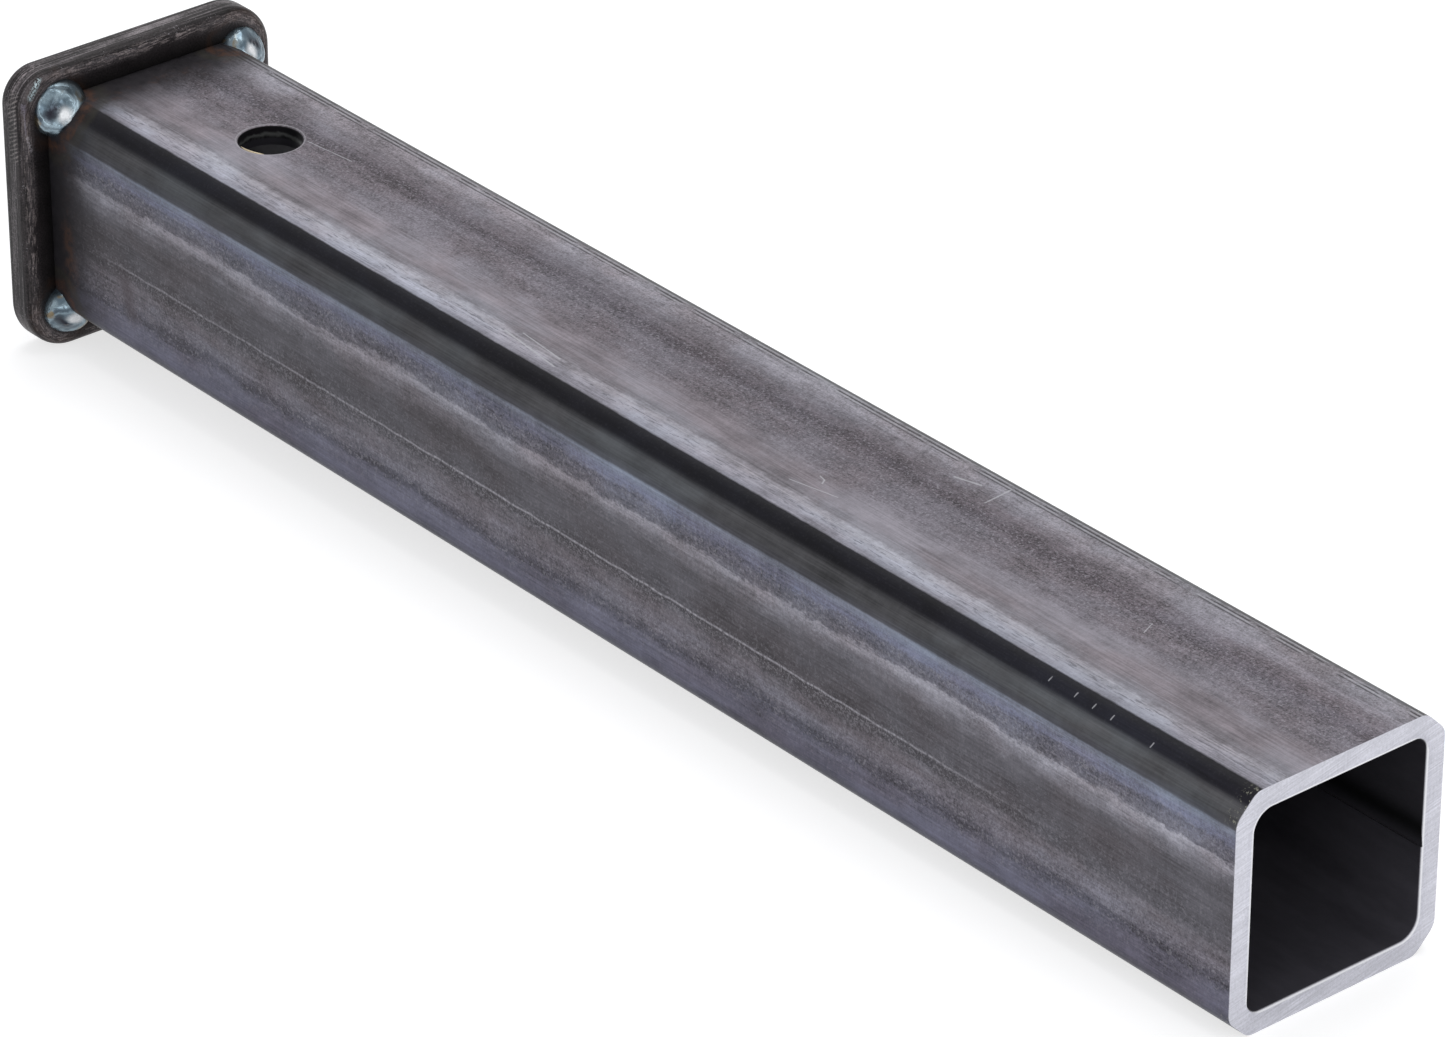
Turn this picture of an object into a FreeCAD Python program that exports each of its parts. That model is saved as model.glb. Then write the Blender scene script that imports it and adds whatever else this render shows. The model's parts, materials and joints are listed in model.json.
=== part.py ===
import FreeCAD, Part
import math
import os

import Sketcher
from FreeCAD import Rotation, Vector

# Hitch receiver tube: a square steel tube, a forged collar round its mouth
# and a weld nugget at each corner of the collar.
# Millimetres, +Z up. The origin is the centre of the mouth. The tube runs
# along +X to its saw-cut rear end, and the hitch pin drops through along Z.

doc = FreeCAD.newDocument("receiver_tube")

# Driving dimensions, each written once.
DIMENSIONS = [
    ("tube_length", 457.2, "mouth to saw-cut end"),
    ("tube_width", 63.5, "outside, across the flats"),
    ("tube_wall", 5.56, "wall of the tube"),
    ("corner_flat", 5.9, "leg of the 45 degree flat on each outer corner"),
    ("corner_blend", 4.6, "radius between that flat and a side"),
    ("socket_corner", 5.2, "radius in two corners of the socket"),
    ("socket_tight_corner", 3.6, "radius in the other two, rolled tighter"),
    ("socket_edge_break", 0.35, "bevel on the socket's edge at both ends"),
    ("seam_groove_depth", 0.4, "groove left by trimming the inner seam bead"),
    ("seam_groove_height", 7.4, "height of that groove on the +Y wall"),
    ("seam_groove_drop", 3.2, "its sharp lower step, below the axis"),
    ("pin_hole_diameter", 16.7, "clears a 5/8 inch hitch pin"),
    ("pin_hole_setback", 63.5, "mouth to the pin's axis"),
    ("pin_hole_bevel", 0.4, "bevel on the outer rim of each pin hole"),
    ("collar_thickness", 9.5, "along the tube"),
    ("collar_rim", 8.3, "solid width of the collar beside the tube"),
    ("collar_clearance", 0.25, "collar to tube, on each side"),
    ("collar_corner", 13.5, "radius of three outer corners"),
    ("collar_tight_corner", 9.7, "radius of the corner forged tighter"),
    ("collar_edge_round", 2.4, "rounding of the collar's outer edges"),
    ("weld_dish_radius", 6.5, "radius of the hollow in a nugget's face"),
    ("weld_dish_depth", 1.6, "depth of that hollow"),
]

# The nuggets are laid by hand, so each has its own radius and its own shift round
# the tube's corner towards the side wall. Seen from the mouth, looking along +X,
# right is -Y and left is +Y.
WELDS = [
    ("upper_right", -1, 1, {"radius": 7.2, "shift": 0.0}),
    ("upper_left", 1, 1, {"radius": 6.9, "shift": 1.6}),
    ("lower_right", -1, -1, {"radius": 6.9, "shift": 0.2}),
    ("lower_left", 1, -1, {"radius": 7.0, "shift": 0.0}),
]
for place, _, _, sizes in WELDS:
    for key, value in sizes.items():
        DIMENSIONS.append((f"weld_{place}_{key}", value, f"{place} weld nugget, {key}"))

# Sizes that follow from the ones above.
DERIVED = [
    ("socket_width", "=tube_width - 2 * tube_wall"),
    ("corner_start", "=corner_flat + corner_blend * tan(22.5)"),
    ("collar_opening", "=tube_width + 2 * collar_clearance"),
    ("collar_width", "=collar_opening + 2 * collar_rim"),
    ("weld_offset", "=(tube_width - corner_flat) / 2"),
    ("envelope_length", "=collar_thickness + tube_width"),
]

SHEET = "dims"
# How far a groove's sketch overlaps the open socket, so that it cuts cleanly.
SKETCH_OVERLAP = 0.2
TOLERANCE = 0.001

sheet = doc.addObject("Spreadsheet::Sheet", SHEET)
for row, (alias, value, meaning) in enumerate(DIMENSIONS, start=1):
    sheet.set(f"A{row}", alias)
    sheet.set(f"B{row}", str(value))
    sheet.set(f"C{row}", meaning)
    sheet.setAlias(f"B{row}", alias)
for row, (alias, formula) in enumerate(DERIVED, start=len(DIMENSIONS) + 1):
    sheet.set(f"A{row}", alias)
    sheet.set(f"B{row}", formula)
    sheet.setAlias(f"B{row}", alias)
doc.recompute()


def size(alias):
    """Value of a named dimension."""
    return float(getattr(sheet, alias))


def bind(obj, prop, formula):
    """Tie a property to named dimensions, each written with a leading @."""
    obj.setExpression(prop, formula.replace("@", f"{SHEET}."))


def new_body(label):
    """Empty body with the name of its sub-part."""
    body = doc.addObject("PartDesign::Body", label)
    body.Label = label
    return body


def new_sketch(body, name, role):
    """Sketch on one of the body's own origin planes."""
    sketch = body.newObject("Sketcher::SketchObject", name)
    plane = next(f for f in body.Origin.OriginFeatures if f.Role == role)
    sketch.AttachmentSupport = [(plane, "")]
    sketch.MapMode = "FlatFace"
    return sketch


def centred_square(body, name, formula):
    """Sketch of a square on the YZ plane, centred on the axis."""
    sketch = new_sketch(body, name, "YZ_Plane")
    half = 10.0
    corners = [
        Vector(-half, -half, 0),
        Vector(half, -half, 0),
        Vector(half, half, 0),
        Vector(-half, half, 0),
    ]
    for index in range(4):
        sketch.addGeometry(Part.LineSegment(corners[index], corners[(index + 1) % 4]), False)
    for index in range(4):
        sketch.addConstraint(Sketcher.Constraint("Coincident", index, 2, (index + 1) % 4, 1))
    for index, direction in enumerate(("Horizontal", "Vertical", "Horizontal", "Vertical")):
        sketch.addConstraint(Sketcher.Constraint(direction, index))
    sketch.addConstraint(Sketcher.Constraint("Symmetric", 0, 1, 2, 1, -1, 1))
    wide = sketch.addConstraint(Sketcher.Constraint("DistanceX", 0, 1, 0, 2, 2 * half))
    tall = sketch.addConstraint(Sketcher.Constraint("DistanceY", 1, 1, 1, 2, 2 * half))
    for index, name_of_side in ((wide, "wide"), (tall, "tall")):
        sketch.renameConstraint(index, name_of_side)
        bind(sketch, f"Constraints.{name_of_side}", formula)
    return sketch


def pad(body, name, sketch, formula):
    """Extrude a sketch along +X."""
    feature = body.newObject("PartDesign::Pad", name)
    feature.Profile = sketch
    bind(feature, "Length", formula)
    sketch.Visibility = False
    doc.recompute()
    return feature


def pocket_along(body, name, sketch):
    """Cut a sketch on the YZ plane right through the body, along +X."""
    before = body.Shape.Volume
    feature = body.newObject("PartDesign::Pocket", name)
    feature.Profile = sketch
    feature.Type = "ThroughAll"
    feature.Reversed = True
    sketch.Visibility = False
    doc.recompute()
    if not body.Shape.Volume < before - TOLERANCE:
        raise RuntimeError(f"{name} removed nothing")
    return feature


def edge_names(shape, wanted):
    """Names of the edges for which wanted(edge) is true."""
    return [f"Edge{i}" for i, edge in enumerate(shape.Edges, start=1) if wanted(edge)]


def runs_along_x(edge):
    """True for a straight edge parallel to the tube."""
    if not isinstance(edge.Curve, (Part.Line, Part.LineSegment)):
        return False
    start, end = edge.Vertexes[0].Point, edge.Vertexes[-1].Point
    return abs((end - start).normalize().x) > 1 - TOLERANCE


def lies_at_x(edge, x):
    """True for an edge in the plane of that x."""
    box = edge.BoundBox
    return abs(box.XMin - x) < TOLERANCE and abs(box.XMax - x) < TOLERANCE


def reach(edge):
    """Largest distance of an edge's box from the axis, along Y or Z."""
    box = edge.BoundBox
    return max(abs(box.YMin), abs(box.YMax), abs(box.ZMin), abs(box.ZMax))


def dress(body, kind, name, base, prop, formula, wanted):
    """Fillet or chamfer the chosen edges of a feature."""
    feature = body.newObject(f"PartDesign::{kind}", name)
    names = edge_names(base.Shape, wanted)
    if not names:
        raise RuntimeError(f"{name} finds no edge")
    feature.Base = (base, names)
    bind(feature, prop, formula)
    doc.recompute()
    return feature


def tube_outline(body, length):
    """Solid with the tube's outer form: 45 degree corner flats, blended into the sides."""
    square = centred_square(body, "outline", "@tube_width")
    bar = pad(body, "bar", square, length)
    flats = dress(body, "Chamfer", "corner_flats", bar, "Size", "@corner_flat", runs_along_x)
    return dress(body, "Fillet", "corner_blends", flats, "Radius", "@corner_blend", runs_along_x)


def make_tube():
    """The receiver tube, with its socket, its trimmed seam and the pin hole."""
    body = new_body("receiver_tube")
    tube_outline(body, "@tube_length")

    socket_sketch = centred_square(body, "socket_outline", "@socket_width")
    socket = pocket_along(body, "socket", socket_sketch)
    inner = size("socket_width") / 2

    def is_socket_corner(edge, turn):
        spot = edge.CenterOfMass
        at_corner = min(abs(spot.y), abs(spot.z)) > inner - TOLERANCE
        inside = reach(edge) < inner + TOLERANCE
        return runs_along_x(edge) and at_corner and inside and spot.y * spot.z * turn > 0

    def is_open_corner(edge):
        return is_socket_corner(edge, -1)

    def is_tight_corner(edge):
        return is_socket_corner(edge, 1)

    opened = dress(
        body, "Fillet", "socket_corners", socket, "Radius", "@socket_corner", is_open_corner
    )
    rounded = dress(
        body, "Fillet", "socket_tight_corners", opened, "Radius", "@socket_tight_corner",
        is_tight_corner
    )

    def is_socket_rim(edge):
        at_end = lies_at_x(edge, 0) or lies_at_x(edge, size("tube_length"))
        return at_end and reach(edge) < inner + TOLERANCE

    dress(body, "Chamfer", "socket_rims", rounded, "Size", "@socket_edge_break", is_socket_rim)

    groove_sketch = seam_groove(body)
    pocket_along(body, "seam_groove", groove_sketch)

    hole = pin_hole(body)

    def is_outer_rim(edge):
        if not isinstance(edge.Curve, Part.Circle):
            return False
        across = abs(edge.Curve.Axis.z) > 1 - TOLERANCE
        return across and reach(edge) > size("tube_width") / 2 - TOLERANCE

    dress(body, "Chamfer", "pin_hole_rims", hole, "Size", "@pin_hole_bevel", is_outer_rim)
    return body


def seam_groove(body):
    """Sketch of the shallow ramp that the seam trimmer leaves inside the +Y wall."""
    sketch = new_sketch(body, "seam_outline", "YZ_Plane")
    wall = size("socket_width") / 2
    step = -size("seam_groove_drop")
    top = Vector(wall - SKETCH_OVERLAP, step + size("seam_groove_height"), 0)
    root = Vector(wall + size("seam_groove_depth"), step, 0)
    foot = Vector(wall - SKETCH_OVERLAP, step, 0)
    corners = [top, root, foot]
    for index in range(3):
        sketch.addGeometry(Part.LineSegment(corners[index], corners[(index + 1) % 3]), False)
    for index in range(3):
        sketch.addConstraint(Sketcher.Constraint("Coincident", index, 2, (index + 1) % 3, 1))
    sketch.addConstraint(Sketcher.Constraint("Horizontal", 1))
    sketch.addConstraint(Sketcher.Constraint("Vertical", 2))
    formulas = (
        ("tall", ("DistanceY", 2, 1, 2, 2, top.y - foot.y), "@seam_groove_height"),
        ("drop", ("DistanceY", 2, 1, -1, 1, -step), "@seam_groove_drop"),
        ("side", ("DistanceX", -1, 1, 2, 1, foot.x), f"@socket_width / 2 - {SKETCH_OVERLAP}"),
        ("floor", ("DistanceX", -1, 1, 1, 1, root.x), "@socket_width / 2 + @seam_groove_depth"),
    )
    for name, arguments, formula in formulas:
        index = sketch.addConstraint(Sketcher.Constraint(*arguments))
        sketch.renameConstraint(index, name)
        bind(sketch, f"Constraints.{name}", formula)
    return sketch


def pin_hole(body):
    """Hole for the hitch pin, straight down through both walls."""
    sketch = new_sketch(body, "pin_hole_outline", "XY_Plane")
    centre = Vector(size("pin_hole_setback"), 0, 0)
    diameter = size("pin_hole_diameter")
    sketch.addGeometry(Part.Circle(centre, Vector(0, 0, 1), diameter / 2), False)
    sketch.addConstraint(Sketcher.Constraint("PointOnObject", 0, 3, -1))
    setback = sketch.addConstraint(Sketcher.Constraint("DistanceX", -1, 1, 0, 3, centre.x))
    across = sketch.addConstraint(Sketcher.Constraint("Diameter", 0, diameter))
    sketch.renameConstraint(setback, "setback")
    sketch.renameConstraint(across, "across")
    bind(sketch, "Constraints.setback", "@pin_hole_setback")
    bind(sketch, "Constraints.across", "@pin_hole_diameter")
    sketch.Visibility = False
    before = body.Shape.Volume
    feature = body.newObject("PartDesign::Pocket", "pin_hole")
    feature.Profile = sketch
    feature.SideType = "Symmetric"
    feature.Type = "ThroughAll"
    doc.recompute()
    through_walls = math.pi * diameter ** 2 / 4 * 2 * size("tube_wall")
    if abs(before - body.Shape.Volume - through_walls) > TOLERANCE * through_walls:
        raise RuntimeError("the pin hole misses a wall")
    return feature


def make_collar():
    """Forged ring round the mouth, a running fit on the tube, flush with its end."""
    body = new_body("mouth_collar")
    blank = pad(body, "blank", centred_square(body, "blank_outline", "@collar_width"),
                "@collar_thickness")

    def is_tight_corner(edge):
        point = edge.CenterOfMass
        return runs_along_x(edge) and point.y < 0 < point.z

    def is_other_corner(edge):
        half = size("collar_width") / 2
        sharp = min(abs(edge.CenterOfMass.y), abs(edge.CenterOfMass.z)) > half - TOLERANCE
        return runs_along_x(edge) and sharp

    tight = dress(body, "Fillet", "tight_corner", blank, "Radius", "@collar_tight_corner",
                  is_tight_corner)
    corners = dress(body, "Fillet", "corners", tight, "Radius", "@collar_corner", is_other_corner)

    def is_face_edge(edge):
        return lies_at_x(edge, 0) or lies_at_x(edge, size("collar_thickness"))

    dress(body, "Fillet", "edges", corners, "Radius", "@collar_edge_round", is_face_edge)

    opening = pocket_along(body, "opening",
                           centred_square(body, "opening_outline", "@collar_opening"))

    def is_opening_corner(edge):
        return runs_along_x(edge) and reach(edge) < size("collar_opening") / 2 + TOLERANCE

    dress(body, "Fillet", "opening_corners", opening, "Radius", "@corner_start",
          is_opening_corner)
    return body


def make_envelope():
    """Tube's outer form near the mouth, which each weld nugget is trimmed to."""
    body = new_body("tube_envelope")
    tube_outline(body, "@envelope_length")
    return body


def make_weld(place, side, level, envelope):
    """Weld nugget in the angle between the collar's rear face and a corner of the tube.

    side is -1 or 1 along Y, level is -1 or 1 along Z.
    """
    label = f"corner_weld_{place}"
    radius, shift = f"@weld_{place}_radius", f"@weld_{place}_shift"
    centre_y = f"(@weld_offset + {shift} * cos(45))"
    centre_z = f"(@weld_offset - {shift} * cos(45))"

    # Half a ball, cut flat where it lies on the collar.
    bead = doc.addObject("Part::Sphere", f"{label}_bead")
    bind(bead, "Radius", radius)
    bead.Angle1 = 0
    bead.Angle2 = 90
    bead.Placement.Rotation = Rotation(Vector(0, 1, 0), 90)
    bind(bead, "Placement.Base.x", "@collar_thickness")
    bind(bead, "Placement.Base.y", f"{side} * {centre_y}")
    bind(bead, "Placement.Base.z", f"{level} * {centre_z}")

    # The hollow is a ball that dips into the middle of the nugget's face, which
    # looks halfway between the tube's length and the corner's outward direction.
    dish = doc.addObject("Part::Sphere", f"{label}_dish")
    bind(dish, "Radius", "@weld_dish_radius")
    away = f"({radius} + @weld_dish_radius - @weld_dish_depth)"
    outward = f"{away} * sin(45) * cos(45)"
    bind(dish, "Placement.Base.x", f"@collar_thickness + {away} * cos(45)")
    bind(dish, "Placement.Base.y", f"{side} * ({centre_y} + {outward})")
    bind(dish, "Placement.Base.z", f"{level} * ({centre_z} + {outward})")

    dished = doc.addObject("Part::Cut", f"{label}_dished")
    dished.Base = bead
    dished.Tool = dish
    nugget = doc.addObject("Part::Cut", label)
    nugget.Label = label
    nugget.Base = dished
    nugget.Tool = envelope
    return nugget


tube = make_tube()
collar = make_collar()
tube_envelope = make_envelope()

welds = [make_weld(place, side, level, tube_envelope) for place, side, level, _ in WELDS]

doc.recompute()

for obj in doc.Objects:
    if "Invalid" in obj.State or "Error" in obj.State:
        raise RuntimeError(f"{obj.Label} did not compute")

os.makedirs("parts", exist_ok=True)
for part in [tube, collar] + welds:
    shape = part.Shape
    if shape.isNull() or not shape.isValid() or len(shape.Solids) != 1:
        raise RuntimeError(f"{part.Label} is not one valid solid")
    shape.exportStep(f"parts/{part.Label}.step")
    print(part.Label, round(shape.Volume, 1))
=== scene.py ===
"""Looks of a hitch receiver tube: mill scale, forged collar and weld nuggets.

Metres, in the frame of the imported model. The origin is the centre of the mouth, +X runs along
the tube to its saw-cut end, +Z is up. Patterns are laid out in millimetres.
"""

import json
import logging
import math
from dataclasses import dataclass
from enum import Enum
from typing import Callable, Dict, List, Optional, Sequence, Tuple, Union

import bmesh
import bpy
from mathutils import Matrix, Quaternion, Vector

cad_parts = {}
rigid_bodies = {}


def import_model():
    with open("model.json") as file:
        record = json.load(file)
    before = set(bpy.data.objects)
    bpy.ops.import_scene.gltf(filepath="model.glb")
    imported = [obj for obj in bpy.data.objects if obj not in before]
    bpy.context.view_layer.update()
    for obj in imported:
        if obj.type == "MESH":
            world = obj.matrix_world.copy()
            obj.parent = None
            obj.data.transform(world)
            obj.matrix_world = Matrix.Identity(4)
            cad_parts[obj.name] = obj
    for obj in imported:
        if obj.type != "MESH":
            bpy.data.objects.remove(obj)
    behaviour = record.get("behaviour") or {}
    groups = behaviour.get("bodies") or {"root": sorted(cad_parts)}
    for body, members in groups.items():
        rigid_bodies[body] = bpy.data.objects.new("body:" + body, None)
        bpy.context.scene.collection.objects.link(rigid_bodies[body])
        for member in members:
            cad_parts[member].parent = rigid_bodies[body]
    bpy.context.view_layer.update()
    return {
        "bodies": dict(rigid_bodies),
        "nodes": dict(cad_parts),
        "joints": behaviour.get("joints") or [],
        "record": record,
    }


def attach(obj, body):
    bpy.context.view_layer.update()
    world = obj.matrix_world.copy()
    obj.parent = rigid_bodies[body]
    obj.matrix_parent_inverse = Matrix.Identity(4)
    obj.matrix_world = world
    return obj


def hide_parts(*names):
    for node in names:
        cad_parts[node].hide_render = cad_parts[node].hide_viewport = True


LOG = logging.getLogger("receiver_tube")
MM = 0.001
ORIGIN = (0.0, 0.0, 0.0)
WHITE = (1.0, 1.0, 1.0, 1.0)
GREY_WEIGHTS = (0.33, 0.33, 0.34)  # turn a grey colour back into its number

Colour = Tuple[float, float, float]
Place = Tuple[float, float, float]
Stroke = Tuple[Place, Place, float]
Feed = Union[float, Sequence[float], "Field"]
Feeds = Dict[Union[int, str], Feed]
Hue = Union[Colour, "Field"]
Chooser = Callable[[Vector], bool]


def linear(colour: Colour) -> Tuple[float, float, float, float]:
    """Turn a display colour into scene-linear values.

    Args:
        colour: Red, green and blue as they look on a screen, 0 to 1.

    Returns:
        The linear colour with an alpha of 1.
    """
    values = [c / 12.92 if c <= 0.04045 else ((c + 0.055) / 1.055) ** 2.4 for c in colour]
    return values[0], values[1], values[2], 1.0


class Effect(Enum):
    """Surface effects that more than one finish uses."""

    STREAKS = "rolling_streaks"
    MOTTLE = "scale_mottle"
    SPECKS = "fine_specks"
    STROKE = "single_stroke"
    HEAT = "welding_heat"
    OUTLINE = "rounded_square"


class Field:
    """A number, vector or colour that changes over the surface: the output of a node."""

    def __init__(self, graph: "Graph", socket: bpy.types.NodeSocket) -> None:
        """Keep the output and the graph that it is in."""
        self.graph = graph
        self.socket = socket

    def __add__(self, other: Feed) -> "Field":
        """Add a number."""
        return self.graph.math("ADD", self, other)

    def __sub__(self, other: Feed) -> "Field":
        """Take a number away."""
        return self.graph.math("SUBTRACT", self, other)

    def __rsub__(self, other: Feed) -> "Field":
        """Take this away from a number."""
        return self.graph.math("SUBTRACT", other, self)

    def __mul__(self, other: Feed) -> "Field":
        """Multiply by a number."""
        return self.graph.math("MULTIPLY", self, other)

    def __truediv__(self, other: Feed) -> "Field":
        """Divide by a number."""
        return self.graph.math("DIVIDE", self, other)

    def __abs__(self) -> "Field":
        """Drop the sign."""
        return self.graph.math("ABSOLUTE", self)

    def sign(self) -> "Field":
        """Return -1, 0 or 1."""
        return self.graph.math("SIGN", self)

    def at_least(self, floor: Feed) -> "Field":
        """Lift what lies below a floor up to it."""
        return self.graph.math("MAXIMUM", self, floor)

    def at_most(self, ceiling: Feed) -> "Field":
        """Bring what lies above a ceiling down to it."""
        return self.graph.math("MINIMUM", self, ceiling)

    def spread(self, low: Feed, high: Feed) -> "Field":
        """Map 0 to 1 onto low to high, without a limit."""
        return self.graph.math("MULTIPLY_ADD", self, high - low, low)

    def step(self, low: Feed, high: Feed) -> "Field":
        """Rise smoothly from 0 at low to 1 at high.

        Args:
            low: Where it starts; it may be the larger one.
            high: Where it ends.

        Returns:
            A number from 0 to 1.
        """
        feeds = {"Value": self, "From Min": low, "From Max": high}
        return self.graph.field(
            "ShaderNodeMapRange", feeds, interpolation_type="SMOOTHSTEP", clamp=True
        )

    def bell(self, centre: float, reach: float) -> "Field":
        """Return 1 at the centre, falling smoothly to 0 at its reach on both sides."""
        return abs(self - centre).step(reach, 0.0)

    def parts(self) -> List["Field"]:
        """Split a vector into its X, Y and Z."""
        made = self.graph.node("ShaderNodeSeparateXYZ", {0: self})
        return [Field(self.graph, socket) for socket in made.outputs]

    def ramp(self, stops: Sequence[Tuple[float, Colour]]) -> "Field":
        """Colour a number by stops.

        Args:
            stops: Places in rising order, each with its display colour.

        Returns:
            The colour.
        """
        low, high = stops[0][0], stops[-1][0]
        feeds = {"Value": self, "From Min": low, "From Max": high}
        share = self.graph.field("ShaderNodeMapRange", feeds, clamp=True)
        made = self.graph.node("ShaderNodeValToRGB", {0: share})
        made.color_ramp.interpolation = "EASE"
        elements = made.color_ramp.elements
        while len(elements) < len(stops):
            elements.new(0.5)
        for element, (place, colour) in zip(elements, stops):
            element.position = (place - low) / (high - low)
            element.color = linear(colour)
        return Field(self.graph, made.outputs[0])

    def noise(self, size: Feed, detail: float = 3.0, rough: float = 0.5) -> "Field":
        """Read a noise pattern at this place.

        Args:
            size: Size of its largest blobs, in the place's own unit.
            detail: How many finer layers it has.
            rough: How strong the finer layers are.

        Returns:
            The pattern, about 0.5 on average.
        """
        scale = self.graph.math("DIVIDE", 1.0, size)
        feeds = {"Vector": self, "Scale": scale, "Detail": detail, "Roughness": rough}
        return self.graph.field("ShaderNodeTexNoise", feeds, noise_dimensions="3D")

    def effect(self, effect: Effect, **inputs: Feed) -> List["Field"]:
        """Read a shared effect at this place.

        Args:
            effect: Which one.
            **inputs: Feeds for its named inputs.

        Returns:
            All that the effect puts out.
        """
        made = self.graph.node("ShaderNodeGroup", node_tree=EffectGroup.of(effect))
        for name, value in {"Position": self, **inputs}.items():
            self.graph.feed(made.inputs[name], value)
        return [Field(self.graph, socket) for socket in made.outputs]

    def pattern(self, effect: Effect, **inputs: Feed) -> "Field":
        """Read the first output of a shared effect at this place."""
        return self.effect(effect, **inputs)[0]

    def stroke(self, stroke: Stroke, uneven: "Field") -> "Field":
        """Mask one stroke, given by its start, run and width, with uneven edges."""
        start, run, width = stroke
        return self.pattern(Effect.STROKE, Start=start, Run=run, Width=width, Uneven=uneven)


class Graph:
    """A node tree being built, with short ways to add and join its nodes."""

    def __init__(self, tree: bpy.types.NodeTree) -> None:
        """Keep the tree that the nodes go into."""
        self.tree = tree

    def node(
        self, kind: str, feeds: Optional[Feeds] = None, **settings: object
    ) -> bpy.types.Node:
        """Add a node.

        Args:
            kind: Blender's name for the node type.
            feeds: What goes into its inputs, by their number or name.
            **settings: Properties to set on it.

        Returns:
            The new node.
        """
        made = self.tree.nodes.new(kind)
        row, column = divmod(len(self.tree.nodes), 12)
        made.location = (200 * column, -180 * row)
        for name, value in settings.items():
            setattr(made, name, value)
        for key, value in (feeds or {}).items():
            self.feed(made.inputs[key], value)
        return made

    def feed(self, socket: bpy.types.NodeSocket, value: Feed) -> None:
        """Join a socket to a field, or give it a fixed value.

        Args:
            socket: An input.
            value: The field or value; one number fills a whole vector.
        """
        if isinstance(value, Field):
            self.tree.links.new(value.socket, socket)
        elif isinstance(value, float) and socket.type == "VECTOR":
            socket.default_value = (value, value, value)
        else:
            socket.default_value = value

    def field(
        self, kind: str, feeds: Feeds, output: Union[int, str] = 0, **settings: object
    ) -> Field:
        """Add a node and read one of its outputs.

        Args:
            kind: Blender's name for the node type.
            feeds: What goes into its inputs, by their number or name.
            output: Number or name of the output.
            **settings: Properties to set on the node.

        Returns:
            The output.
        """
        return Field(self, self.node(kind, feeds, **settings).outputs[output])

    def math(self, operation: str, *values: Feed, clamp: bool = False) -> Field:
        """Work out a number.

        Args:
            operation: What a Math node calls it.
            *values: One feed for each of its inputs.
            clamp: Whether the result is kept between 0 and 1.

        Returns:
            The result.
        """
        feeds = dict(enumerate(values))
        return self.field("ShaderNodeMath", feeds, operation=operation, use_clamp=clamp)

    def vector(self, operation: str, *values: Feed) -> Field:
        """Work out a vector, or a number from vectors.

        Args:
            operation: What a Vector Math node calls it.
            *values: One feed for each of its inputs.

        Returns:
            The result.
        """
        output = "Value" if operation in ("LENGTH", "DISTANCE", "DOT_PRODUCT") else "Vector"
        feeds = dict(enumerate(values))
        return self.field("ShaderNodeVectorMath", feeds, output, operation=operation)

    def scaled(self, vector: Hue, factor: Feed) -> Field:
        """Multiply a vector, or a field's or display colour, by a number.

        Args:
            vector: The field or the display colour.
            factor: The number.

        Returns:
            The result.
        """
        start = vector if isinstance(vector, Field) else linear(vector)[:3]
        return self.field("ShaderNodeVectorMath", {0: start, "Scale": factor}, operation="SCALE")

    def joined(self, x: Feed, y: Feed, z: Feed) -> Field:
        """Build a vector from three numbers."""
        return self.field("ShaderNodeCombineXYZ", {0: x, 1: y, 2: z})

    def mix(self, factor: Feed, first: Hue, second: Hue) -> Field:
        """Mix two colours.

        Args:
            factor: 0 gives the first, 1 the second.
            first: The field or display colour underneath.
            second: The field or display colour on top.

        Returns:
            The mixed colour.
        """
        below, above = (c if isinstance(c, Field) else linear(c) for c in (first, second))
        feeds = {0: factor, 6: below, 7: above}
        return self.field("ShaderNodeMix", feeds, 2, data_type="RGBA")


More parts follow.
